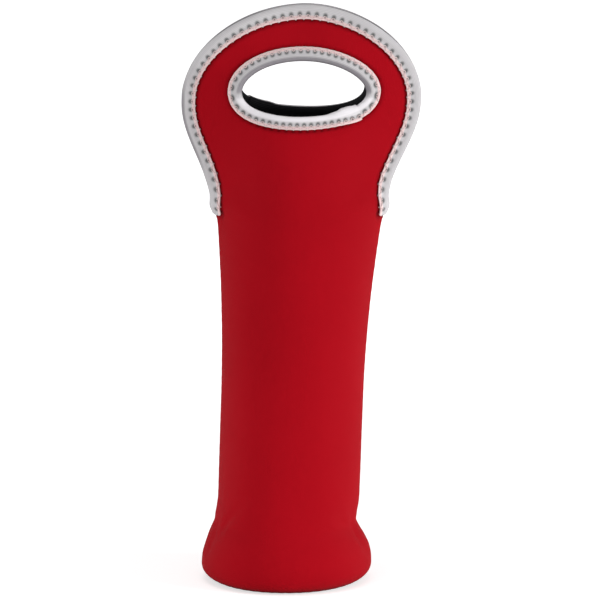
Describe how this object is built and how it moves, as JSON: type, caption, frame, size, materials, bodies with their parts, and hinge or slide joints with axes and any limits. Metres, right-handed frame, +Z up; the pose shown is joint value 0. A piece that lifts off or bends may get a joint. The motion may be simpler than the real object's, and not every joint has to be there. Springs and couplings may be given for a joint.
{
  "type": "bottle carrier",
  "caption": "Soft neoprene tube bag for one bottle, on a round base, with two taped handle flaps that have oval hand holes.",
  "frame": {"origin": "middle of the base, on the surface that the bag stands on", "axes": "+Z up the tube towards the handle flaps, +X to the right seen from the front, the front panel faces -Y"},
  "size_m": [0.1438, 0.1042, 0.3516],
  "materials": {
    "red_neoprene": "matt jersey-faced neoprene, red outside and black inside",
    "binding_tape": "light grey knitted binding tape",
    "thread": "pale polyester thread, zigzag stitched",
    "inside_seam": "black overlock thread over the turned-in seam"
  },
  "bodies": {
    "bag_body": {"front_panel": "red_neoprene", "back_panel": "red_neoprene", "base_panel": "red_neoprene", "left_side_seam": "inside_seam", "right_side_seam": "inside_seam", "base_seam": "inside_seam", "front_fold": "red_neoprene", "front_tape_tails": "binding_tape", "front_tail_stitches": "thread", "back_fold": "red_neoprene", "back_tape_tails": "binding_tape", "back_tail_stitches": "thread"},
    "front_flap": {"front_handle": "red_neoprene", "front_edge_tape": "binding_tape", "front_hole_tape": "binding_tape", "front_edge_stitches": "thread", "front_hole_stitches": "thread"},
    "back_flap": {"back_handle": "red_neoprene", "back_edge_tape": "binding_tape", "back_hole_tape": "binding_tape", "back_edge_stitches": "thread", "back_hole_stitches": "thread"}
  },
  "joints": [
    {"name": "front_flap_fold", "type": "hinge", "parent": "bag_body", "child": "front_flap", "pos_m": [0.008, -0.017, 0.24], "axis": [1, 0, 0], "range_deg": [0, 35], "stiffness_Nm_per_rad": 0.06, "deforming": ["front_fold", "front_tape_tails", "front_tail_stitches"]},
    {"name": "back_flap_fold", "type": "hinge", "parent": "bag_body", "child": "back_flap", "pos_m": [0.008, 0.017, 0.24], "axis": [-1, 0, 0], "range_deg": [0, 35], "stiffness_Nm_per_rad": 0.06, "deforming": ["back_fold", "back_tape_tails", "back_tail_stitches"]}
  ]
}
